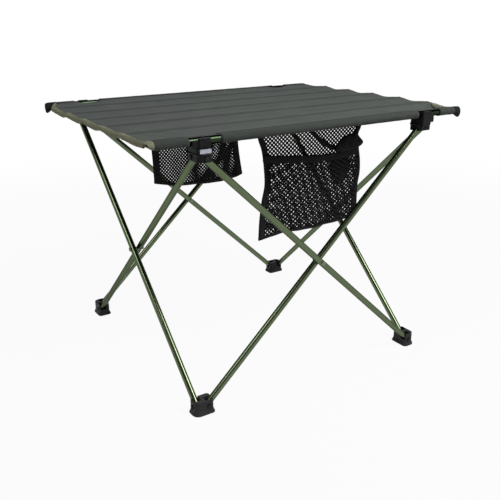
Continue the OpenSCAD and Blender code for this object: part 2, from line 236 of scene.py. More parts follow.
threadSet = {"pitch": 0.0030, "thread": 0.0006, "stitch": 0.84}
spindleFaces = np.array([[0, 2, 1], [0, 3, 2], [0, 4, 3], [0, 1, 4],
                         [5, 1, 2], [5, 2, 3], [5, 3, 4], [5, 4, 1]])
upright = np.array([0.0, 0.0, 1.0])


def stitches(path, normal):  # each stitch along a path is a spindle: four points round its middle, two tips
    size = threadSet
    run = pathRun(path)
    at = np.arange(size["pitch"] / 2, run[-1], size["pitch"])
    normal = np.broadcast_to(normal, path.shape)
    middle, lead, up = [np.stack([np.interp(at, run, values[:, i]) for i in range(3)], -1)
                        for values in (path, np.gradient(path, run, axis=0), normal)]
    lead = lead / np.linalg.norm(lead, axis=1, keepdims=True)
    side = np.cross(lead, up)
    half = size["pitch"] * size["stitch"] / 2
    wide = size["thread"] / 2
    corners = [-half * lead, wide * side, wide * up, -wide * side, -wide * up, half * lead]
    points = middle[:, None] + np.stack(corners, 1)
    faces = (np.arange(len(at))[:, None, None] * len(corners) + spindleFaces[None]).reshape(-1, 3)
    return points, faces, points[..., :2]


# Finishes

clothLook = {"weave": 0.0016, "mottle": 24.0, "mottleDetail": 5.0, "streak": 60.0, "streakDetail": 2.0,
             "stretch": (0.12, 5.0, 5.0), "least": 0.1, "mottleShare": 0.34, "streakShare": 0.46,
             "threadShare": 0.05, "cloud": 4.0, "cloudDetail": 2.0, "cloudFrom": 0.42, "cloudTo": 0.62,
             "cloudColour": (0.082, 0.074, 0.082, 1), "rough": 0.85, "roughDrop": 0.12, "bump": 0.35,
             "bumpThread": 0.5, "strength": 0.5, "sheen": 0.02, "sheenRough": 0.5, "shine": 0.08}


# Woven threads, mottle and long streaks share out the two colours, with clouds over them and painted shade in
# darker bands along the rod seams
def clothPaint(name, slotName, dark, light, cloudShare=0.0, seams=None):
    look = clothLook
    paint = Paint(name, slotName)
    u, v = paint.split(paint.flat)[:2]
    turn = 2 * math.pi / look["weave"]
    threads = (u * turn).sine() * (v * turn).sine()
    mottle = paint.noise(paint.place, look["mottle"], look["mottleDetail"])
    streak = paint.noise(paint.place, look["streak"], look["streakDetail"], look["stretch"])
    share = look["least"] + look["mottleShare"] * mottle + look["streakShare"] * streak
    colour = paint.mix(share + look["threadShare"] * threads, dark, light)
    if cloudShare:
        cloud = paint.noise(paint.place, look["cloud"], look["cloudDetail"])
        cloud = cloud.rise(look["cloudFrom"], look["cloudTo"])
        colour = paint.mix(cloud * cloudShare, colour, look["cloudColour"])
    # painted shade: a darker band along each rod seam stands for the shade at the rod channels
    if seams:
        y = paint.split(paint.place)[1]
        off = abs((y / seams["pitch"] + 0.5).fraction() - 0.5) * seams["pitch"]
        band = 1 - off.rise(seams["inner"], seams["outer"])
        colour = paint.mix(band * seams["depth"], colour, seams["colour"])
    rough = look["rough"] - look["roughDrop"] * mottle
    normal = paint.bump(threads * look["bumpThread"] + streak, look["weave"] * look["bump"], look["strength"])
    return paint.surface(Base_Color=colour, Roughness=rough, Normal=normal, Sheen_Weight=look["sheen"],
                         Sheen_Roughness=look["sheenRough"], Specular_IOR_Level=look["shine"])


tapeLook = {"mottle": 90.0, "detail": 4.0, "least": 0.35, "mottleShare": 0.3, "ribShare": 0.2, "yarn": 0.4,
            "bump": 0.25, "strength": 0.6, "rough": 0.8, "shine": 0.12}


def tapePaint(name, slotName, dark, light, rib):  # ribs across the tape and finer yarn along it
    look = tapeLook
    paint = Paint(name, slotName)
    u, v = paint.split(paint.flat)[:2]
    turn = 2 * math.pi / rib
    ribs = (v * turn).sine()
    yarn = (u * turn).sine()
    mottle = paint.noise(paint.place, look["mottle"], look["detail"])
    colour = paint.mix(look["mottleShare"] * mottle + look["ribShare"] * ribs + look["least"], dark, light)
    normal = paint.bump(ribs + look["yarn"] * yarn, rib * look["bump"], look["strength"])
    return paint.surface(Base_Color=colour, Roughness=look["rough"], Normal=normal,
                         Specular_IOR_Level=look["shine"])


mouldLook = {"fineDetail": 2.0, "broad": 60.0, "broadDetail": 3.0, "rough": 0.36, "roughSpread": 0.2,
             "bump": 0.0001, "strength": 0.5, "shine": 0.08}


def mouldPaint(name, slotName, dark, light, grain):  # fine grain over broad patches
    look = mouldLook
    paint = Paint(name, slotName)
    fine = paint.noise(paint.place, grain, look["fineDetail"])
    broad = paint.noise(paint.place, look["broad"], look["broadDetail"])
    colour = paint.mix(0.5 * fine + 0.5 * broad, dark, light)
    rough = look["rough"] + look["roughSpread"] * broad
    normal = paint.bump(fine, look["bump"], look["strength"])
    return paint.surface(Base_Color=colour, Roughness=rough, Normal=normal, Specular_IOR_Level=look["shine"])


metalLook = {"streak": 40.0, "smear": 18.0, "detail": 3.0, "roughSpread": 0.08, "bump": 0.00005,
             "strength": 0.04}


# Brushed streaks over broad smears, where edge tints the reflections at a slant
def metalPaint(name, slotName, dark, light, rough, edge, brush=(1, 1, 1)):
    look = metalLook
    paint = Paint(name, slotName)
    streak = paint.noise(paint.place, look["streak"], look["detail"], brush)
    smear = paint.noise(paint.place, look["smear"], look["detail"])
    colour = paint.mix(0.5 * streak + 0.5 * smear, dark, light)
    normal = paint.bump(streak, look["bump"], look["strength"])
    return paint.surface(Base_Color=colour, Metallic=1.0, Roughness=rough + look["roughSpread"] * smear,
                         Normal=normal, Specular_Tint=edge)


railLow, railHigh = nodeBox("rail_front")
railY = -(railLow[1] + railHigh[1]) / 2
railZ = (railLow[2] + railHigh[2]) / 2
rodPitch = railY / 3  # five rods between the two rails, evenly apart

# painted shade: darker bands along the rod seams, where the cloth dips beside each rod
rodShadeBands = {"pitch": rodPitch, "inner": 0.0035, "outer": 0.0075, "depth": 0.5,
             "colour": (0.042, 0.048, 0.045, 1)}
charcoalTop = clothPaint("charcoal top", "charcoal_fabric",
                         (0.038, 0.045, 0.041, 1), (0.124, 0.140, 0.128, 1), 0.2, rodShadeBands)
# painted shade: a darker copy of the top's charcoal fabric, for the shaded sleeves and rod channels
charcoal = clothPaint("charcoal", "charcoal_fabric",
                      (0.033, 0.038, 0.034, 1), (0.071, 0.079, 0.072, 1))

khaki = tapePaint("khaki tape", "khaki_binding",
                  (0.10, 0.105, 0.062, 1), (0.40, 0.41, 0.285, 1), 0.0012)
blackTape = tapePaint("black tape", "black_tape",
                      (0.006, 0.006, 0.007, 1), (0.026, 0.026, 0.028, 1), 0.0011)
meshCloth = tapePaint("black mesh", "black_mesh",
                      (0.006, 0.006, 0.007, 1), (0.022, 0.022, 0.024, 1), 0.0008)
darkThread = tapePaint("dark thread", "charcoal_fabric",
                       (0.03, 0.032, 0.032, 1), (0.06, 0.063, 0.062, 1), 0.0005)
khakiThread = tapePaint("khaki thread", "khaki_binding",
                        (0.09, 0.09, 0.05, 1), (0.2, 0.2, 0.12, 1), 0.0005)

# painted light and shade: one black plastic in two copies, darker for the parts in shade under the top and
# lighter for the lit feet
shadedMould = mouldPaint("black mould", "black_plastic",
                        (0.007, 0.007, 0.0075, 1), (0.018, 0.018, 0.018, 1), 900.0)
litFootMould = mouldPaint("foot mould", "black_plastic",
                       (0.012, 0.012, 0.0125, 1), (0.063, 0.063, 0.064, 1), 500.0)
labelPaint = mouldPaint("pale label", "label",
                        (0.40, 0.43, 0.49, 1), (0.58, 0.61, 0.68, 1), 300.0)

oliveEdge = (0.10, 0.11, 0.07, 1)
greyEdge = (0.5, 0.5, 0.5, 1)
whiteEdge = (1, 1, 1, 1)
oliveTube = metalPaint("olive tube", "olive_tube",
                       (0.076, 0.104, 0.050, 1), (0.126, 0.167, 0.086, 1), 0.16, oliveEdge)
oliveTube.surface(Coat_Weight=0.35, Coat_Roughness=0.14)
# painted shade: a darker copy of the olive tube finish with no coat, for the rails that lie in shade under
# the cloth
shadedOliveRail = metalPaint("olive rail", "olive_tube",
                       (0.020, 0.030, 0.016, 1), (0.034, 0.048, 0.028, 1), 0.16, oliveEdge)
oliveRivet = metalPaint("olive rivet", "rivet_steel",
                        (0.130, 0.170, 0.115, 1), (0.210, 0.260, 0.190, 1), 0.25, greyEdge)
steel = metalPaint("rivet steel", "rivet_steel",
                   (0.014, 0.014, 0.014, 1), (0.04, 0.04, 0.04, 1), 0.3, greyEdge)
rodMetal = metalPaint("rod metal", "bare_rod",
                      (0.35, 0.35, 0.36, 1), (0.55, 0.55, 0.56, 1), 0.3, whiteEdge, (0.05, 4, 4))
print("finishes made")


# Tubes, moulded parts and fasteners keep their modelled form, with softened edges

nodePaints = {"foot_rivets": steel, "hub_rivets": steel, "cross_rivet": oliveRivet, "clip_screw": steel,
              "foot": litFootMould, "hub": shadedMould, "rail_clip": shadedMould, "rail_plugs": shadedMould,
              "leg": oliveTube, "rail_front": shadedOliveRail, "rail_back": shadedOliveRail, "blank_label": labelPaint,
              "rod_tips": shadedMould, "rod": rodMetal}
weldSet = {"distance": 0.00002}
mouldSet = {"nodes": ("foot", "hub", "rail_clip"), "voxel": 0.00055, "ease": 0.5, "rounds": 4}
rivetSet = {"nodes": ("foot_rivets", "hub_rivets", "cross_rivet"), "edge": 0.0011, "segments": 4,
            "angle": 50}
tubeSet = {"nodes": ("leg", "rail_front", "rail_back", "rod", "rod_tips"), "crease": 35}


def soften(obj):  # a finely stepped copy of the solid, then eased
    remesh = obj.modifiers.new("mould", "REMESH")
    remesh.mode = "VOXEL"
    remesh.voxel_size = mouldSet["voxel"]
    remesh.use_smooth_shade = True
    ease = obj.modifiers.new("ease", "SMOOTH")
    ease.factor = mouldSet["ease"]
    ease.iterations = mouldSet["rounds"]


def roundEdges(obj):  # a round bevel along the sharp edges of a rivet's head
    dome = obj.modifiers.new("dome", "BEVEL")
    dome.limit_method = "ANGLE"
    dome.angle_limit = math.radians(rivetSet["angle"])
    dome.width = rivetSet["edge"]
    dome.segments = rivetSet["segments"]


def shadeRound(obj):  # smooth round the tube, sharp at its ends
    obj.data.shade_smooth()
    crease = obj.modifiers.new("crease", "EDGE_SPLIT")
    crease.split_angle = math.radians(tubeSet["crease"])


for name, obj in nodes.items():
    start = next((key for key in nodePaints if name.startswith(key)), None)
    if start is None:
        continue
    obj.data.materials.clear()
    obj.data.materials.append(nodePaints[start].material)
    for settings, finish in ((mouldSet, soften), (rivetSet, roundEdges), (tubeSet, shadeRound)):
        if start in settings["nodes"]:
            obj.modifiers.new("weld", "WELD").merge_threshold = weldSet["distance"]
            finish(obj)
print("frame parts finished")


# Fabric top

panelLow, panelHigh = nodeBox("top_panel")
panelX = panelHigh[0]
panelY = panelHigh[1]
panelMid = (panelLow[2] + panelHigh[2]) / 2
boundEnd = -nodeBox("sleeve_front")[0][0]  # from the middle to a sleeve's bound end
tailEnd = nodeBox("sleeve_front")[1][0]  # and to the end of its tail
tabEnd = nodeBox("sleeve_tabs")[1][0]

cutSet = {"inner": 0.0055, "outer": 0.003, "lips": {"front": 0.030, "back": 0.0335}}
cutInner = nodeBox("rail_clip_fr")[0][0] - cutSet["inner"]
cutOuter = cutSet["outer"] - nodeBox("rail_clip_fl")[0][0]
cutMiddle = (cutInner + cutOuter) / 2
lipEnds = {label: cutOuter + past for label, past in cutSet["lips"].items()}

topSet = {"thick": 0.0011, "flatSpare": 0.006, "sagMiddle": 0.0012, "sagEdge": 0.0017, "edgeReach": 0.05,
          "ridge": 0.0006, "ridgeWidth": 0.0042, "groove": 0.0004, "grooveAt": 0.0066, "grooveWidth": 0.0016,
          "overRail": 0.00105, "railRound": 0.0061, "dip": 0.0030, "dipHalf": 0.017, "dipReach": 0.016,
          "sink": 0.0070, "sinkAt": (0.256, -0.178), "sinkReach": 0.032, "sinkFrom": -0.151,
          "sinkEdge": 0.010, "rowsPerPitch": 28, "cluster": 0.09, "middleColumns": 150, "edgeColumns": 14,
          "edgeCluster": 1.2}
edgeSet = {"cutLength": {1: 0.052, -1: 0.034}, "cutDepth": {1: 0.0285, -1: 0.017}, "cornerSoft": 0.012,
           "cornerBend": {1: 0.0, -1: 0.3}, "cornerHang": 0.1, "bendFrom": 0.75, "bendTo": 1.2,
           "reach": 0.030, "lastRod": 2.5, "samples": 121,
           "rod": {1: {"start": 0.0085, "run": 0.011, "length": 0.0115, "bend": 44},
                   -1: {"start": 0.0035, "run": 0.005, "length": 0.0075, "bend": 44}},
           "gap": {1: {"start": 0.0110, "run": 0.009, "length": 0.0120, "bend": 62},
                   -1: {"start": 0.0100, "run": 0.008, "length": 0.0110, "bend": 62}}}
puckerSet = {"depth": 0.00055, "fade": 0.05, "spokes": 11, "turn": 1.9, "twist": 40, "soft": 0.02}
wrinkleSet = [{"depth": 0.00022, "first": (61, 23, 0.7), "second": (37, -52, 0)},
              {"depth": 0.00013, "first": (140, -60, 1.3), "second": (30, 95, 0)}]


def edgeX(y, side):  # reach of a short edge: straight, then slanting in to its cut corner, rounded between
    slant = panelX - edgeSet["cutDepth"][side] * (1 - (side * y + panelY) / edgeSet["cutLength"][side])
    return (panelX + slant - np.hypot(panelX - slant, edgeSet["cornerSoft"])) / 2


def rodForm(x, y):  # sag between rods, deeper near the short edges, a ridge over each rod and its two grooves
    size = topSet
    near = np.exp((np.abs(x) - panelX) / size["edgeReach"])
    off = np.abs((y / rodPitch + 0.5) % 1 - 0.5) * rodPitch
    deep = size["sagMiddle"] + (size["sagEdge"] - size["sagMiddle"]) * near
    sag = deep * np.sin(np.pi * y / rodPitch) ** 2
    ridge = size["ridge"] * np.exp(-(off / size["ridgeWidth"]) ** 2)
    groove = size["groove"] * np.exp(-((off - size["grooveAt"]) / size["grooveWidth"]) ** 2)
    return ridge - sag - groove


def railForm(x, y):  # up to the rails and round over them, lower at the back cut-outs
    size = topSet
    past = np.clip((np.abs(y) - panelY) / (railY - panelY), 0, 1)
    bent = np.clip((np.abs(y) - railY) / size["railRound"], 0, 1)
    cutOff = (np.abs(x) - cutMiddle) / size["dipHalf"]
    dip = size["dip"] * np.exp(-cutOff ** 4) * np.exp((y - panelY) / size["dipReach"])
    return size["overRail"] * past - size["railRound"] * (1 - np.sqrt(1 - bent ** 2)) - dip


def sinkForm(x, y):  # a hollow at the front right corner, eased out at the edges and before the last rod
    size = topSet
    off = np.hypot(x - size["sinkAt"][0], y - size["sinkAt"][1]) / size["sinkReach"]
    room = np.minimum(np.minimum(edgeX(y, 1) - x, y + panelY), size["sinkFrom"] - y)
    return -size["sink"] * np.exp(-off ** 2) * smoothStep(room / size["sinkEdge"])


def wrinkleForm(x, y):  # products of slanting waves, and creases that fan out from each cut-out and fade
    total = np.zeros(np.broadcast(x, y).shape)
    for wave in wrinkleSet:
        first, second = [np.sin(a * x + b * y + c) for a, b, c in (wave["first"], wave["second"])]
        total += wave["depth"] * first * second
    pucker = puckerSet
    for cx, cy in ((-1, -1), (1, -1), (1, 1), (-1, 1)):
        dx = x - cx * cutMiddle
        dy = y - cy * panelY
        reach = np.hypot(dx, dy)
        spoke = np.sin(pucker["spokes"] * np.arctan2(dy, dx) + pucker["turn"] * cx + pucker["twist"] * reach)
        fade = np.exp(-reach / pucker["fade"]) * np.minimum(reach / pucker["soft"], 1)
        total += pucker["depth"] * fade * spoke
    return total


def clothTop(x, y):  # height of the middle of the cloth
    return panelMid + rodForm(x, y) + railForm(x, y) + sinkForm(x, y) + wrinkleForm(x, y)


# Cloth at distances back from a short edge: level, then bent down to hang, as a sum of small turning steps
def edgeGrid(y, back, side):
    size = edgeSet
    rod = size["rod"][side]
    gap = size["gap"][side]
    wave = np.where(np.abs(y) < size["lastRod"] * rodPitch, np.sin(np.pi * y / rodPitch) ** 2, 1)
    at = {key: rod[key] + (gap[key] - rod[key]) * wave for key in rod}
    along = (side * y + panelY) / size["cutLength"][side]  # a slanted corner is pulled tight
    loose = np.clip((along - size["bendFrom"]) / (size["bendTo"] - size["bendFrom"]), 0, 1)
    turn = at["bend"] * (size["cornerBend"][side] + (1 - size["cornerBend"][side]) * loose)
    spare = size["cornerHang"] + (1 - size["cornerHang"]) * np.clip(along, 0, 1) ** 2
    length = at["start"] + (at["length"] - at["start"]) * spare
    last = size["samples"] - 1
    run = np.linspace(0, size["reach"], size["samples"])[None] + (length - size["reach"])[:, None]
    bend = np.radians(turn)[:, None] * smoothStep(run / at["run"][:, None])
    start = edgeX(y, side) - at["start"] + length - size["reach"]
    out = start[:, None] + np.cumsum(np.cos(bend), 1) * size["reach"] / last
    drop = np.cumsum(np.sin(bend), 1) * size["reach"] / last
    index = (1 - np.asarray(back) / size["reach"]) * last
    low = np.minimum(index.astype(int), last - 1)
    part = (index - low)[None]
    x = side * (out[:, low] * (1 - part) + out[:, low + 1] * part)
    z = clothTop(x, y[:, None]) - (drop[:, low] * (1 - part) + drop[:, low + 1] * part)
    return np.stack(np.broadcast_arrays(x, y[:, None], z), -1)


def clusteredRows():  # rows of the panel, closer together at the rods
    size = topSet
    t = np.linspace(-panelY, panelY, int(2 * panelY / rodPitch * size["rowsPerPitch"])) / rodPitch
    y = (t - size["cluster"] * np.sin(2 * np.pi * t)) * rodPitch
    return y * panelY / y[-1]


def panelGrid():  # the panel from its left edge to its right edge
    size = topSet
    y = clusteredRows()
    backs = edgeSet["reach"] * (1 - np.linspace(0, 1, size["edgeColumns"])) ** size["edgeCluster"]
    left = edgeGrid(y, backs[::-1], -1)
    right = edgeGrid(y, backs, 1)
    across = np.linspace(0, 1, size["middleColumns"])[1:-1]
    x = left[:, -1:, 0] + (right[:, :1, 0] - left[:, -1:, 0]) * across
    y = np.broadcast_to(y[:, None], x.shape)
    return np.concatenate([left, np.stack([x, y, clothTop(x, y)], -1), right], 1)


lipSet = {"past": 0.0012, "hug": 0.00565, "blend": 0.006, "rows": 14, "columns": 30}


def lipGrid(side):  # the cloth reaches over the front rail where its sleeve is cut out, and lies round it
    size = lipSet
    x = side * np.linspace(cutInner, cutOuter, size["columns"])[::side]
    y = np.linspace(-railY - size["past"], -panelY, size["rows"])
    x, y = np.meshgrid(x, y)
    rail = railZ + np.sqrt(np.maximum(size["hug"] ** 2 - (y + railY) ** 2, 0))
    share = np.clip((-panelY - y) / size["blend"], 0, 1)
    return np.stack([x, y, clothTop(x, y) * (1 - share) + rail * share], -1)


topShape = joined([planShape(grid) for grid in (panelGrid(), lipGrid(-1), lipGrid(1))])
topCloth = makePiece("top_cloth", topShape, charcoalTop, "top", ["top_panel"], topSet["thick"])

sleeveSet = {"thick": 0.0009, "flare": 0.05, "hem": 0.003, "step": 0.004, "leastRings": 6, "samples": 52,
             "wrinkle": 0.00014, "shortWave": 260, "longWave": 75, "seams": (2, 5), "threadLift": 0.0006,
             "droop": {"front": 0.0028, "back": 0.0065}, "droopReach": 0.0125, "flatten": 0.72}
sleeveProfile = smoothPath([(-10.8, 5.0), (-7.5, 5.15), (-4.0, 5.55), (0.0, 5.65), (4.0, 4.1), (5.6, 0.5),
                            (4.4, -3.6), (0.5, -5.6), (-3.6, -4.5), (-5.7, -1.2), (-7.9, 1.7), (-10.8, 2.9)],
                           sleeveSet["samples"]) * mm


# The profile at places x along a sleeve, wrinkled, flared at its hems, flat and drooping past the rail's end
def sleeveRings(x, low, high, label, lift=0.0):
    size = sleeveSet
    end = np.minimum(x - low, high - x)
    grow = size["flare"] * np.exp(-np.abs(end) / size["hem"])[:, None, None]
    turn = np.linspace(0, 2 * np.pi, size["samples"])
    waves = np.sin(size["shortWave"] * x[:, None] + 2 * turn)
    waves = waves * np.sin(size["longWave"] * x[:, None] - turn + 1)
    radial = sleeveProfile / np.linalg.norm(sleeveProfile, axis=1, keepdims=True)
    loose = np.sin(turn / 2)[:, None] ** 2
    ring = sleeveProfile * (1 + grow * loose) + radial * (size["wrinkle"] * waves[..., None] * loose + lift)
    past = np.clip((size["droopReach"] - boundEnd - x) / size["droopReach"], 0, 1)[:, None]
    crest = sleeveProfile[:, 1].max()
    tall = (crest - ring[..., 1]) * (1 - size["flatten"] * past ** 1.5)
    return rings(x, -railY - ring[..., 0], railZ + crest - tall - size["droop"][label] * past ** 2)


def sleevePart(low, high, label):  # cloth from its seam round the rail and back, along part of the rail
    count = max(int((high - low) / sleeveSet["step"]), sleeveSet["leastRings"])
    return sleeveRings(np.linspace(low, high, count), low, high, label)


def turned(points):  # half a turn about the upright axis: the back repeats the front
    return points * np.array([-1, -1, 1])


bindSet = {"width": 0.0072, "lift": 0.0012, "thick": 0.0007, "edge": 0.0009, "under": 0.003, "rows": 410,
           "columns": 9, "sewn": (1, 6), "collar": 6, "pucker": 0.00035, "ripple": 1450, "drift": 2.1,
           "driftWave": 210, "threadLift": 0.0004}


def bindingShape(side):  # tape folded round an edge of the panel, with two lines of stitches
    size = bindSet
    y = np.linspace(-panelY - size["under"], panelY, size["rows"]) * side
    face = edgeGrid(y, np.linspace(size["width"], 0, size["columns"]), side)
    normal = gridNormals(face)
    normal *= np.sign(normal[..., 2:])
    out = face[:, -1] - face[:, -2]
    out /= np.linalg.norm(out, axis=-1, keepdims=True)
    bulge = np.sin(np.linspace(0, np.pi, size["columns"]))[None, :, None]
    ripple = np.sin(size["ripple"] * y + size["drift"] * np.sin(size["driftWave"] * y))[:, None, None]
    lift = size["lift"] + size["pucker"] * (1 + ripple) * bulge
    rim = face[:, -1:] + out[:, None] * size["edge"]
    grid = np.concatenate([face + normal * lift, rim, (face - normal * lift)[:, ::-1]], 1)
    sewn = face + normal * (lift + size["threadLift"])
    return grid, joined([stitches(sewn[:, k], normal[:, k]) for k in size["sewn"]])


def collarShape(label):  # the same tape round the open end of a sleeve
    size = bindSet
    x = np.linspace(size["width"], 0, size["collar"]) - boundEnd
    outer = sleeveRings(x, -boundEnd, -cutOuter, label, size["lift"])
    rim = sleeveRings(x[-1:] - size["edge"], -boundEnd, -cutOuter, label)
    inner = sleeveRings(x[::-1], -boundEnd, -cutOuter, label, -size["thick"] / 2)
    return np.concatenate([outer, rim, inner])


for side, label in ((-1, "left"), (1, "right")):
    tape, thread = bindingShape(side)
    collar = collarShape("front") if side < 0 else turned(collarShape("back"))
    name = "binding_" + label
    tapeShape = joined([gridShape(tape), gridShape(collar)])
    makePiece(name + "_tape", tapeShape, khaki, "top", [name], bindSet["thick"])
    makePiece(name + "_thread", thread, khakiThread, "top")

tailSet = {"radius": 0.0060, "taper": 0.08, "squash": 0.02, "dent": 0.012, "before": 0.002, "past": 0.0015,
           "rings": 16, "around": 28, "dents": 3, "dentTwist": 9}


def tailPart(start):  # the tube over the end of a rail, past a slanted corner
    size = tailSet
    x = np.linspace(start - size["before"], tailEnd + size["past"], size["rings"])
    share = ((x - x[0]) / (x[-1] - x[0]))[:, None]
    turn = np.linspace(0, 2 * np.pi, size["around"] + 1)[None]
    dent = size["dent"] * np.sin(size["dents"] * turn + size["dentTwist"] * share)
    radius = size["radius"] * (1 - size["taper"] * share + dent)
    y = -railY + radius * np.cos(turn) * (1 + size["squash"] * share)
    z = railZ + radius * np.sin(turn) * (1 - size["squash"] * share)
    return rings(x, y, z)


for label, move in (("front", np.array), ("back", turned)):
    spans = ((-boundEnd, -cutOuter), (-cutInner, cutInner), (cutOuter, lipEnds[label]))
    sleeveParts = [sleevePart(low, high, label) for low, high in spans]
    shape = joined([gridShape(move(part)) for part in sleeveParts + [tailPart(lipEnds[label])]])
    name = "sleeve_" + label
    makePiece(name + "_cloth", shape, charcoal, "top", [name], sleeveSet["thick"])
    seams = [move(part[:, column]) + upright * sleeveSet["threadLift"]
             for part in sleeveParts for column in sleeveSet["seams"]]
    makePiece(name + "_thread", joined([stitches(line, upright) for line in seams]), darkThread, "top")

tabSet = {"start": 0.0015, "past": 0.0008, "thick": 0.0007, "around": 32, "rings": 20}
tabSide = [(0, 6.35), (0.3, 6.3), (0.6, 6.1), (0.85, 5.6), (0.96, 3.6)]
tabUnder = [(0, -6.35), (0.25, -6.9), (0.5, -10.2), (0.66, -11.8), (0.84, -8.0), (1, 1.0)]


def tabShape():  # a black end sewn on the tube, closed at its tip and hanging lower there
    size = tabSet
    high, low, wide = [smoothPath(line, size["rings"]) * [1, mm]
                       for line in (tabSide + [(1, 1.5)], tabUnder, tabSide + [(1, 0.4)])]
    x = tailEnd - size["start"] + high[:, 0] * (tabEnd + size["past"] + size["start"] - tailEnd)
    turn = np.linspace(0, 2 * np.pi, size["around"] + 1)[None]
    middle = (high[:, 1:] + low[:, 1:]) / 2
    tall = (high[:, 1:] - low[:, 1:]) / 2
    return rings(x, -railY + wide[:, 1:] * np.cos(turn), railZ + middle + tall * np.sin(turn))


tabs = joined([gridShape(tabShape()), gridShape(turned(tabShape()))])
makePiece("sleeve_ends", tabs, blackTape, "top", ["sleeve_tabs"], tabSet["thick"], offset=-1.0)

rodNames = ["rod_" + str(k) for k in range(1, 6)]
channelSet = {"bare": 0.011, "thick": 0.0007, "columns": 40, "step": 0.005, "wrinkle": 0.0002, "waveX": 300,
              "waveY": 500, "threadSamples": 240, "threadLift": 0.0002}
channelProfile = smoothPath([(-8.6, 3.9), (-6.4, 3.7), (-4.5, 2.3), (-4.05, 0.0), (-2.9, -2.9), (0.0, -4.05),
                             (2.9, -2.9), (4.05, 0.0), (4.5, 2.3), (6.4, 3.7), (8.6, 3.9)],
                            channelSet["columns"]) * mm


def channelGrid(low, high):  # the profile carried along a rod, a little wrinkled
    size = channelSet
    x = np.linspace(low[0] + size["bare"], high[0] - size["bare"], int((high[0] - low[0]) / size["step"]))
    y = (low[1] + high[1]) / 2 + channelProfile[:, 0]
    z = (low[2] + high[2]) / 2 + channelProfile[:, 1]
    points = np.stack(np.broadcast_arrays(x[:, None], y[None], z[None]), -1)
    wave = np.sin(size["waveX"] * points[..., :1] + size["waveY"] * points[..., 1:2])
    return points + size["wrinkle"] * wave * np.array([0, 1, 1])


def channelThread(low, high, offset):  # a line of stitches on the panel beside a rod
    size = channelSet
    x = np.linspace(low[0], high[0], size["threadSamples"])
    y = np.full(size["threadSamples"], (low[1] + high[1]) / 2 + offset)
    return stitches(np.stack([x, y, clothTop(x, y) + topSet["thick"] / 2 + size["threadLift"]], -1), upright)


rodBoxes = [nodeBox(name) for name in rodNames]
channels = [channelGrid(low, high) for low, high in rodBoxes]
channelShape = joined([gridShape(points) for points in channels])
channelCloth = makePiece("rod_channel_cloth", channelShape, charcoal, "top", ["rod_channels"],
                         channelSet["thick"])
rodThread = [channelThread(low, high, offset) for low, high in rodBoxes
             for offset in (-topSet["grooveAt"], topSet["grooveAt"])]
topThread = makePiece("top_thread", joined(rodThread), darkThread, "top")
print("top made")


# Mesh pockets

pocketSet = {"meshThick": 0.00055, "meshIn": 0.0045, "meshUp": 0.003, "meshTop": 0.002, "clear": 0.0006,
             "apart": 0.0011, "secondPleat": 0.43, "secondShare": 0.5, "pleatLean": 9, "swellRound": 0.8,
             "swellFall": 2.2, "swellLow": 0.25, "leastTall": 0.001, "lineSamples": 60, "wideSamples": 80}
edgingSet = {"thick": 0.0006, "side": 0.0095, "sideHalf": 0.0014, "hem": 0.0045, "hemHalf": 0.00119,
             "top": 0.006, "topHalf": 0.0008, "fold": [1, 0.7, 0.35, 0.08, -0.05, 0.08, 0.35, 0.7, 1],
             "face": [1, 1, 1, 0.9, 0, -0.9, -1, -1, -1]}
backY = nodeBox("large_pocket_back")[0][1] + pocketSet["clear"]
pocketTop = panelLow[2] - pocketSet["clear"]


def perforated(lattice, plan, inside, depth):  # cloth with staggered holes, each in a rhombus of the lattice
    steps = np.array([lattice["across"] / 4, lattice["down"] / 2])
    columns = int(panelX / lattice["across"])
    rows = int(panelMid / lattice["down"])
    i, j = np.meshgrid(np.arange(-columns, columns), np.arange(rows), indexing="ij")
    key = np.stack([4 * i + 2 * (j % 2), 2 * j], -1).reshape(-1, 2)
    centre = key * steps
    keep = inside(*plan(centre[:, 0], centre[:, 1]))
    key = key[keep]
    centre = centre[keep]
    ring = np.array([(2, 0), (1, 1), (0, 2), (-1, 1), (-2, 0), (-1, -1), (0, -2), (1, -1)])
    corners, index = np.unique((key[:, None] + ring).reshape(-1, 2), axis=0, return_inverse=True)
    outer = index.reshape(-1, len(ring))
    way = ring * steps
    hole = centre[:, None] + lattice["hole"] * way / np.linalg.norm(way, axis=1, keepdims=True)
    inner = len(corners) + np.arange(outer.size).reshape(-1, len(ring))
    flat = np.concatenate([corners * steps, hole.reshape(-1, 2)])
    faces = np.stack([outer, np.roll(outer, -1, 1), np.roll(inner, -1, 1), inner], -1).reshape(-1, 4)
    x, z = plan(flat[:, 0], flat[:, 1])
    return np.stack([x, depth(x, z), z], -1), faces, flat


def foldedTape(path, inward, width, half):  # tape folded round an edge: its section carried along the path
    depth = width * np.array(edgingSet["fold"])[:, None]
    side = half * np.array(edgingSet["face"])[:, None]
    return gridShape(path[:, None] + np.array(inward) * depth + np.array([0, -1, 0]) * side)


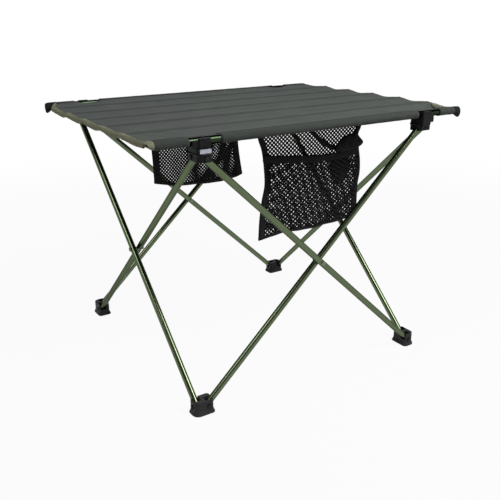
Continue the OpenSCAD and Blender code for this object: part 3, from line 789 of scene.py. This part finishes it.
class Pocket:  # a back sheet that hangs from the top and a bulging front sheet sewn to it on three sides
    def __init__(self, settings):
        self.size = settings
        self.leftLine, self.rightLine = [smoothPath(settings[key], pocketSet["lineSamples"]) * mm
                                         for key in ("left", "right")]
        self.bottomLine, self.mouthLine = [smoothPath(settings[key], pocketSet["wideSamples"]) * mm
                                           for key in ("bottom", "mouth")]

    def left(self, z):  # x of the left edge at height z
        return np.interp(z, self.leftLine[::-1, 1], self.leftLine[::-1, 0])

    def right(self, z):  # x of the right edge at height z
        return np.interp(z, self.rightLine[::-1, 1], self.rightLine[::-1, 0])

    def bottom(self, x):  # height of the bottom edge at x
        return np.interp(x, self.bottomLine[:, 0], self.bottomLine[:, 1])

    def mouth(self, x):  # height of the front sheet's upper edge at x
        return np.interp(x, self.mouthLine[:, 0], self.mouthLine[:, 1])

    def inside(self, x, z, top):  # inside the edges, by less than their tape covers
        shared = pocketSet
        sides = (x > self.left(z) + shared["meshIn"]) & (x < self.right(z) - shared["meshIn"])
        return sides & (z > self.bottom(x) + shared["meshUp"]) & (z < top - shared["meshTop"])

    def backDepth(self, x, z):  # two waves across the sheet that grow downwards
        shared = pocketSet
        size = self.size
        turn = 2 * np.pi * x / size["pleat"]
        second = np.sin(turn / shared["secondPleat"] + shared["pleatLean"] * z)
        wave = np.sin(turn + size["phase"]) + shared["secondShare"] * second
        return backY + size["ruffle"] * np.clip((pocketTop - z) / size["height"], 0, 1) * wave

    def frontDepth(self, x, z):  # in front of the back sheet by an arch across, which falls off to the bottom
        shared = pocketSet
        size = self.size
        u = np.clip((x - self.left(z)) / (self.right(z) - self.left(z)), 0, 1)
        tall = np.maximum(self.mouth(x) - self.bottom(x), shared["leastTall"])
        v = np.clip((self.mouth(x) - z) / tall, 0, 1)
        skew = np.clip((u - size["hug"]) / (1 - size["hug"]), 0, 1) ** size["lean"]
        arch = np.sin(np.pi * skew) ** shared["swellRound"]
        fall = np.clip(1 - v ** shared["swellFall"], 0, 1)
        fall = fall * (1 - shared["swellLow"] * (1 - np.cos(np.pi * v)))
        return self.backDepth(x, z) - shared["apart"] - size["bulge"] * arch * fall

    def middleDepth(self, x, z):  # half-way between the two sheets
        return (self.backDepth(x, z) + self.frontDepth(x, z)) / 2

    def straightPlan(self, a, b):  # rows of holes level, as cut
        return a, b

    def frontPlan(self, a, b):  # rows of holes climb to both sides of the place where the sheet sags
        size = self.size
        off = a - size["sagAt"]
        bend = np.hypot(off, size["sagSoft"])
        climb = size["climbLeft"] * (bend - off) / 2 + size["climbRight"] * (bend + off) / 2
        return a + size["shear"] * (b - pocketTop), b + climb

    def backSheet(self):  # mesh from the top to the bottom edge
        return perforated(self.size["lattice"], self.straightPlan,
                          lambda x, z: self.inside(x, z, pocketTop), self.backDepth)

    def frontSheet(self):  # mesh from the mouth to the bottom edge, its holes pulled wider
        return perforated({**self.size["lattice"], "hole": self.size["frontHole"]}, self.frontPlan,
                          lambda x, z: self.inside(x, z, self.mouth(x)), self.frontDepth)

    def along(self, line, depth):  # an outline set at the depth of a sheet
        return np.stack([line[:, 0], depth(line[:, 0], line[:, 1]), line[:, 1]], -1)

    def edging(self):  # tape down both sides, along the bottom and along the top
        tape = edgingSet
        left, right, bottom = [self.along(line, self.middleDepth)
                               for line in (self.leftLine, self.rightLine, self.bottomLine)]
        x = np.linspace(self.leftLine[0, 0], self.rightLine[0, 0], pocketSet["lineSamples"])
        top = np.stack(np.broadcast_arrays(x, backY, pocketTop), -1)
        return joined([foldedTape(left, (1, 0, 0), tape["side"], tape["sideHalf"]),
                       foldedTape(right, (-1, 0, 0), tape["side"], tape["sideHalf"]),
                       foldedTape(bottom, (0, 0, 1), tape["hem"], tape["hemHalf"]),
                       foldedTape(top, (0, 0, -1), tape["top"], tape["topHalf"])])

    def mouthTape(self):  # tape folded over the front sheet's upper edge
        path = self.along(self.mouthLine, self.frontDepth)
        return foldedTape(path, (0, 0, -1), self.size["mouthTape"], self.size["mouthHalf"])


# Outlines in millimetres, as seen from the front
smallSet = {"left": [(-237, 413), (-237.5, 388), (-236.5, 367), (-236, 350), (-235.5, 338)],
            "right": [(-97, 413), (-97, 384), (-94, 358), (-91, 340), (-90, 332)],
            "bottom": [(-236, 337), (-212, 331.5), (-196, 328.5), (-172, 327), (-125, 325.5), (-104, 328),
                       (-90, 332)],
            "mouth": [(-238, 397), (-200, 395), (-160, 393), (-120, 394), (-90, 398)],
            "mouthTape": 0.004, "mouthHalf": 0.0009,
            "height": 0.086, "pleat": 0.062, "phase": 0.6, "ruffle": 0.0011, "bulge": 0.0085, "hug": 0.36,
            "lean": 1.0, "lattice": {"across": 0.0047, "down": 0.0026, "hole": 0.00084},
            "frontHole": 0.00105, "climbLeft": 0.0, "climbRight": 0.2, "sagAt": -0.175, "sagSoft": 0.012,
            "shear": 0.0}
largeSet = {"left": [(-59, 413), (-60, 385), (-53, 364), (-49, 340), (-47, 308), (-53, 281), (-58, 249),
                     (-60, 219)],
            "right": [(152, 413), (150, 384), (144, 370), (146, 350), (151, 325), (152, 303), (148, 279),
                      (148, 237)],
            "bottom": [(-60, 218), (-45, 218.5), (-6, 221), (62, 219.5), (110, 222), (134, 227), (148, 237)],
            "mouth": [(-51, 356), (-30, 353), (13, 349), (50, 346), (86, 345), (115, 346), (146, 349)],
            "mouthTape": 0.011, "mouthHalf": 0.001,
            "height": 0.195, "pleat": 0.094, "phase": 2.2, "ruffle": 0.0019, "bulge": 0.0105, "hug": 0.0,
            "lean": 0.8, "lattice": {"across": 0.0074, "down": 0.0033, "hole": 0.00133},
            "frontHole": 0.0018, "climbLeft": 0.32, "climbRight": 0.5, "sagAt": 0.02, "sagSoft": 0.008,
            "shear": 0.3}

pocketPieces = []
for label, settings in (("small", smallSet), ("large", largeSet)):
    pocket = Pocket(settings)
    backName = label + "_pocket_back"
    frontName = label + "_pocket_front"
    thick = pocketSet["meshThick"]
    back = makePiece(backName + "_mesh", pocket.backSheet(), meshCloth, "top", [backName], thick)
    front = makePiece(frontName + "_mesh", pocket.frontSheet(), meshCloth, "top", [frontName], thick)
    edging = makePiece(label + "_pocket_tape", pocket.edging(), blackTape, "top", (), edgingSet["thick"])
    pocketPieces.append((pocket, back, front, edging))
smallPocket = pocketPieces[0][0]
largePocket = pocketPieces[1][0]

smallMouth = makePiece("small_pocket_mouth_tape", smallPocket.mouthTape(), blackTape, "top", (),
                       edgingSet["thick"])
largeBand = makePiece("large_pocket_mouth_tape", largePocket.mouthTape(), blackTape, "top",
                      ["large_pocket_band"], edgingSet["thick"])

strapSet = {"line": [(30, 396), (38, 388), (48, 379), (61, 368), (76, 358), (96, 350)], "width": 0.008,
            "thick": 0.0012, "rows": 40, "columns": 7, "before": 0.0016, "lift": 0.004}


def strapGrid():  # a flat band along its line in front of the back sheet, lifting towards the mouth
    size = strapSet
    line = smoothPath(size["line"], size["rows"]) * mm
    lead = np.gradient(line, axis=0)
    side = np.stack([-lead[:, 1], lead[:, 0]], -1)
    side /= np.linalg.norm(side, axis=1, keepdims=True)
    across = np.linspace(-0.5, 0.5, size["columns"])[None, :, None] * size["width"]
    x, z = np.moveaxis(line[:, None] + side[:, None] * across, -1, 0)
    lift = size["before"] + size["lift"] * np.linspace(0, 1, size["rows"])[:, None] ** 2
    return np.stack([x, largePocket.backDepth(x, z) - lift, z], -1)


strap = makePiece("large_pocket_strap", gridShape(strapGrid()), blackTape, "top", (), strapSet["thick"])

flapSet = {"outline": [(87, 348), (91, 359), (102, 368), (116, 373), (132, 373), (140, 366), (148, 357),
                       (140, 350), (123, 347), (103, 345)],
           "before": 0.0095, "depth": 0.0055, "rings": 15, "around": 72}
tuckSet = {"outline": [(78, 336), (100, 338), (119, 335), (127, 319), (119, 301), (102, 288), (88, 306)],
           "before": 0.0042, "depth": 0.0016, "rings": 8, "around": 48}
lumpFolds = ((0.16, 150, 260), (0.1, 420, -190))  # depth as a share, and waves along x and z


def lumpShape(size):  # a puffed lump of folded cloth: rings shrink to a point at the front and at the back
    ring = smoothPath(size["outline"] + size["outline"][:1], size["around"] + 1) * mm
    middle = ring[:-1].mean(0)
    lift = np.linspace(0, np.pi, 2 * size["rings"] + 1)[:, None]
    x, z = np.moveaxis(middle + (ring - middle)[None] * np.sin(lift)[..., None], -1, 0)
    fold = 1 + sum(depth * np.sin(a * x + b * z) for depth, a, b in lumpFolds)
    return gridShape(np.stack([x, backY - size["before"] - size["depth"] * np.cos(lift) * fold, z], -1))


makePiece("large_pocket_flap", lumpShape(flapSet), blackTape, "top")
makePiece("large_pocket_tuck", lumpShape(tuckSet), meshCloth, "top")
print("pockets made")


# Sizes of the soft pieces as cut flat, worked out and left unused

cutCorners = sum(edgeSet["cutLength"][side] * edgeSet["cutDepth"][side] for side in (-1, 1)) / 2
4 * panelX * panelY - cutCorners
channelLength = np.mean([points[-1, 0, 0] - points[0, 0, 0] for points in channels])
for (pocket, back, front, edging), onFront in zip(pocketPieces, ([smallMouth], [largeBand, strap])):
    wide = pocket.rightLine[0, 0] - pocket.leftLine[0, 0] - 2 * pocketSet["meshIn"]
    lowest = pocket.bottomLine[:, 1].mean() + pocketSet["meshUp"]
    pocketTop - lowest
    pocket.mouthLine[:, 1].mean() - lowest


# Stage

lampSet = {"key light": {"place": (-2.0, -0.3, 2.45), "aim": (0, 0, 0.3), "size": 1.05, "power": 14.5},
           "fill light": {"place": (1.9, -1.7, 1.3), "aim": (0, 0, 0.2), "size": 1.0, "power": 2.5},
           "top light": {"place": (0.41, -0.83, 1.26), "aim": (0, -0.1, 0.3), "size": 0.7, "power": 13.5},
           "back light": {"place": (0.9, 2.0, 1.2), "aim": (0, 0, 0.3), "size": 1.0, "power": 5.0}}


def softLight(name, settings):  # a round lamp turned to face its aim
    data = bpy.data.lights.new(name, "AREA")
    data.shape = "DISK"
    data.size = settings["size"]
    data.energy = settings["power"]
    lamp = bpy.data.objects.new(name, data)
    bpy.context.scene.collection.objects.link(lamp)
    lamp.location = settings["place"]
    x, y, z = np.array(settings["aim"]) - np.array(settings["place"])
    lamp.rotation_euler = (math.pi / 2 + math.atan2(z, math.hypot(x, y)), 0, math.atan2(-x, y))


for name, settings in lampSet.items():
    softLight(name, settings)

floorSet = {"half": 9, "colour": (0.6, 0.6, 0.6, 1), "rough": 0.8, "shine": 0.1, "glow": 0.94,
            "near": 0.75, "far": 1.9}
floorPaint = Paint("pale floor", None)
floorPaint.surface(Base_Color=floorSet["colour"], Roughness=floorSet["rough"],
                   Specular_IOR_Level=floorSet["shine"])
reach = floorPaint.node("ShaderNodeVectorMath", {"operation": "LENGTH"}, {0: floorPaint.place}, 1)
white = floorPaint.node("ShaderNodeEmission", {}, {"Color": (1, 1, 1, 1)})
lit = Wire(floorPaint, floorPaint.shader.outputs[0])
far = reach.rise(floorSet["near"], floorSet["far"])  # the shadow fades into white away from the table
whiteShare = floorPaint.seenDirectly() * (floorSet["glow"] + (1 - floorSet["glow"]) * far)
faded = floorPaint.node("ShaderNodeMixShader", {}, {0: whiteShare, 1: lit, 2: white})
floorPaint.fill(floorPaint.tree.nodes["Material Output"], {0: faded})
half = floorSet["half"]
floorCorners = [(-half, -half, 0), (half, -half, 0), (half, half, 0), (-half, half, 0)]
floorMesh = bpy.data.meshes.new("floor")
floorMesh.from_pydata(floorCorners, [], [(0, 1, 2, 3)])
floorMesh.materials.append(floorPaint.material)
floor = bpy.data.objects.new("floor", floorMesh)
bpy.context.scene.collection.objects.link(floor)

worldSet = {"light": 0.22, "ceilingFrom": 0.12, "ceilingTo": 0.5, "ceiling": 0.12}
world = bpy.data.worlds.new("studio")
bpy.context.scene.world = world
world.use_nodes = True
sky = Graph(world.node_tree)
height = sky.split(sky.node("ShaderNodeTexCoord", {}, {}, "Generated"))[2]
ceiling = height.rise(worldSet["ceilingFrom"], worldSet["ceilingTo"])
backdrop = 1 - (1 - worldSet["ceiling"]) * ceiling  # white round the table, a dark ceiling above it
seen = sky.seenDirectly()
strength = seen * backdrop + (1 - seen) * worldSet["light"]
sky.fill(world.node_tree.nodes["Background"], {"Color": (1, 1, 1, 1), "Strength": strength})

cameraSet = {"place": (-0.6291, -0.9665, 0.5740), "pitch": -20.07, "roll": 0.10, "heading": -33.25,
             "lens": 48.22, "sensor": 36}
turns = (90 + cameraSet["pitch"], cameraSet["roll"], cameraSet["heading"])
cameraData = bpy.data.cameras.new("camera")
cameraData.sensor_width = cameraSet["sensor"]
cameraData.lens = cameraSet["lens"]
camera = bpy.data.objects.new("camera", cameraData)
camera.location = cameraSet["place"]
camera.rotation_euler = [math.radians(turn) for turn in turns]
bpy.context.scene.collection.objects.link(camera)
bpy.context.scene.camera = camera
bpy.context.scene.view_settings.view_transform = "Standard"
print("stage set")
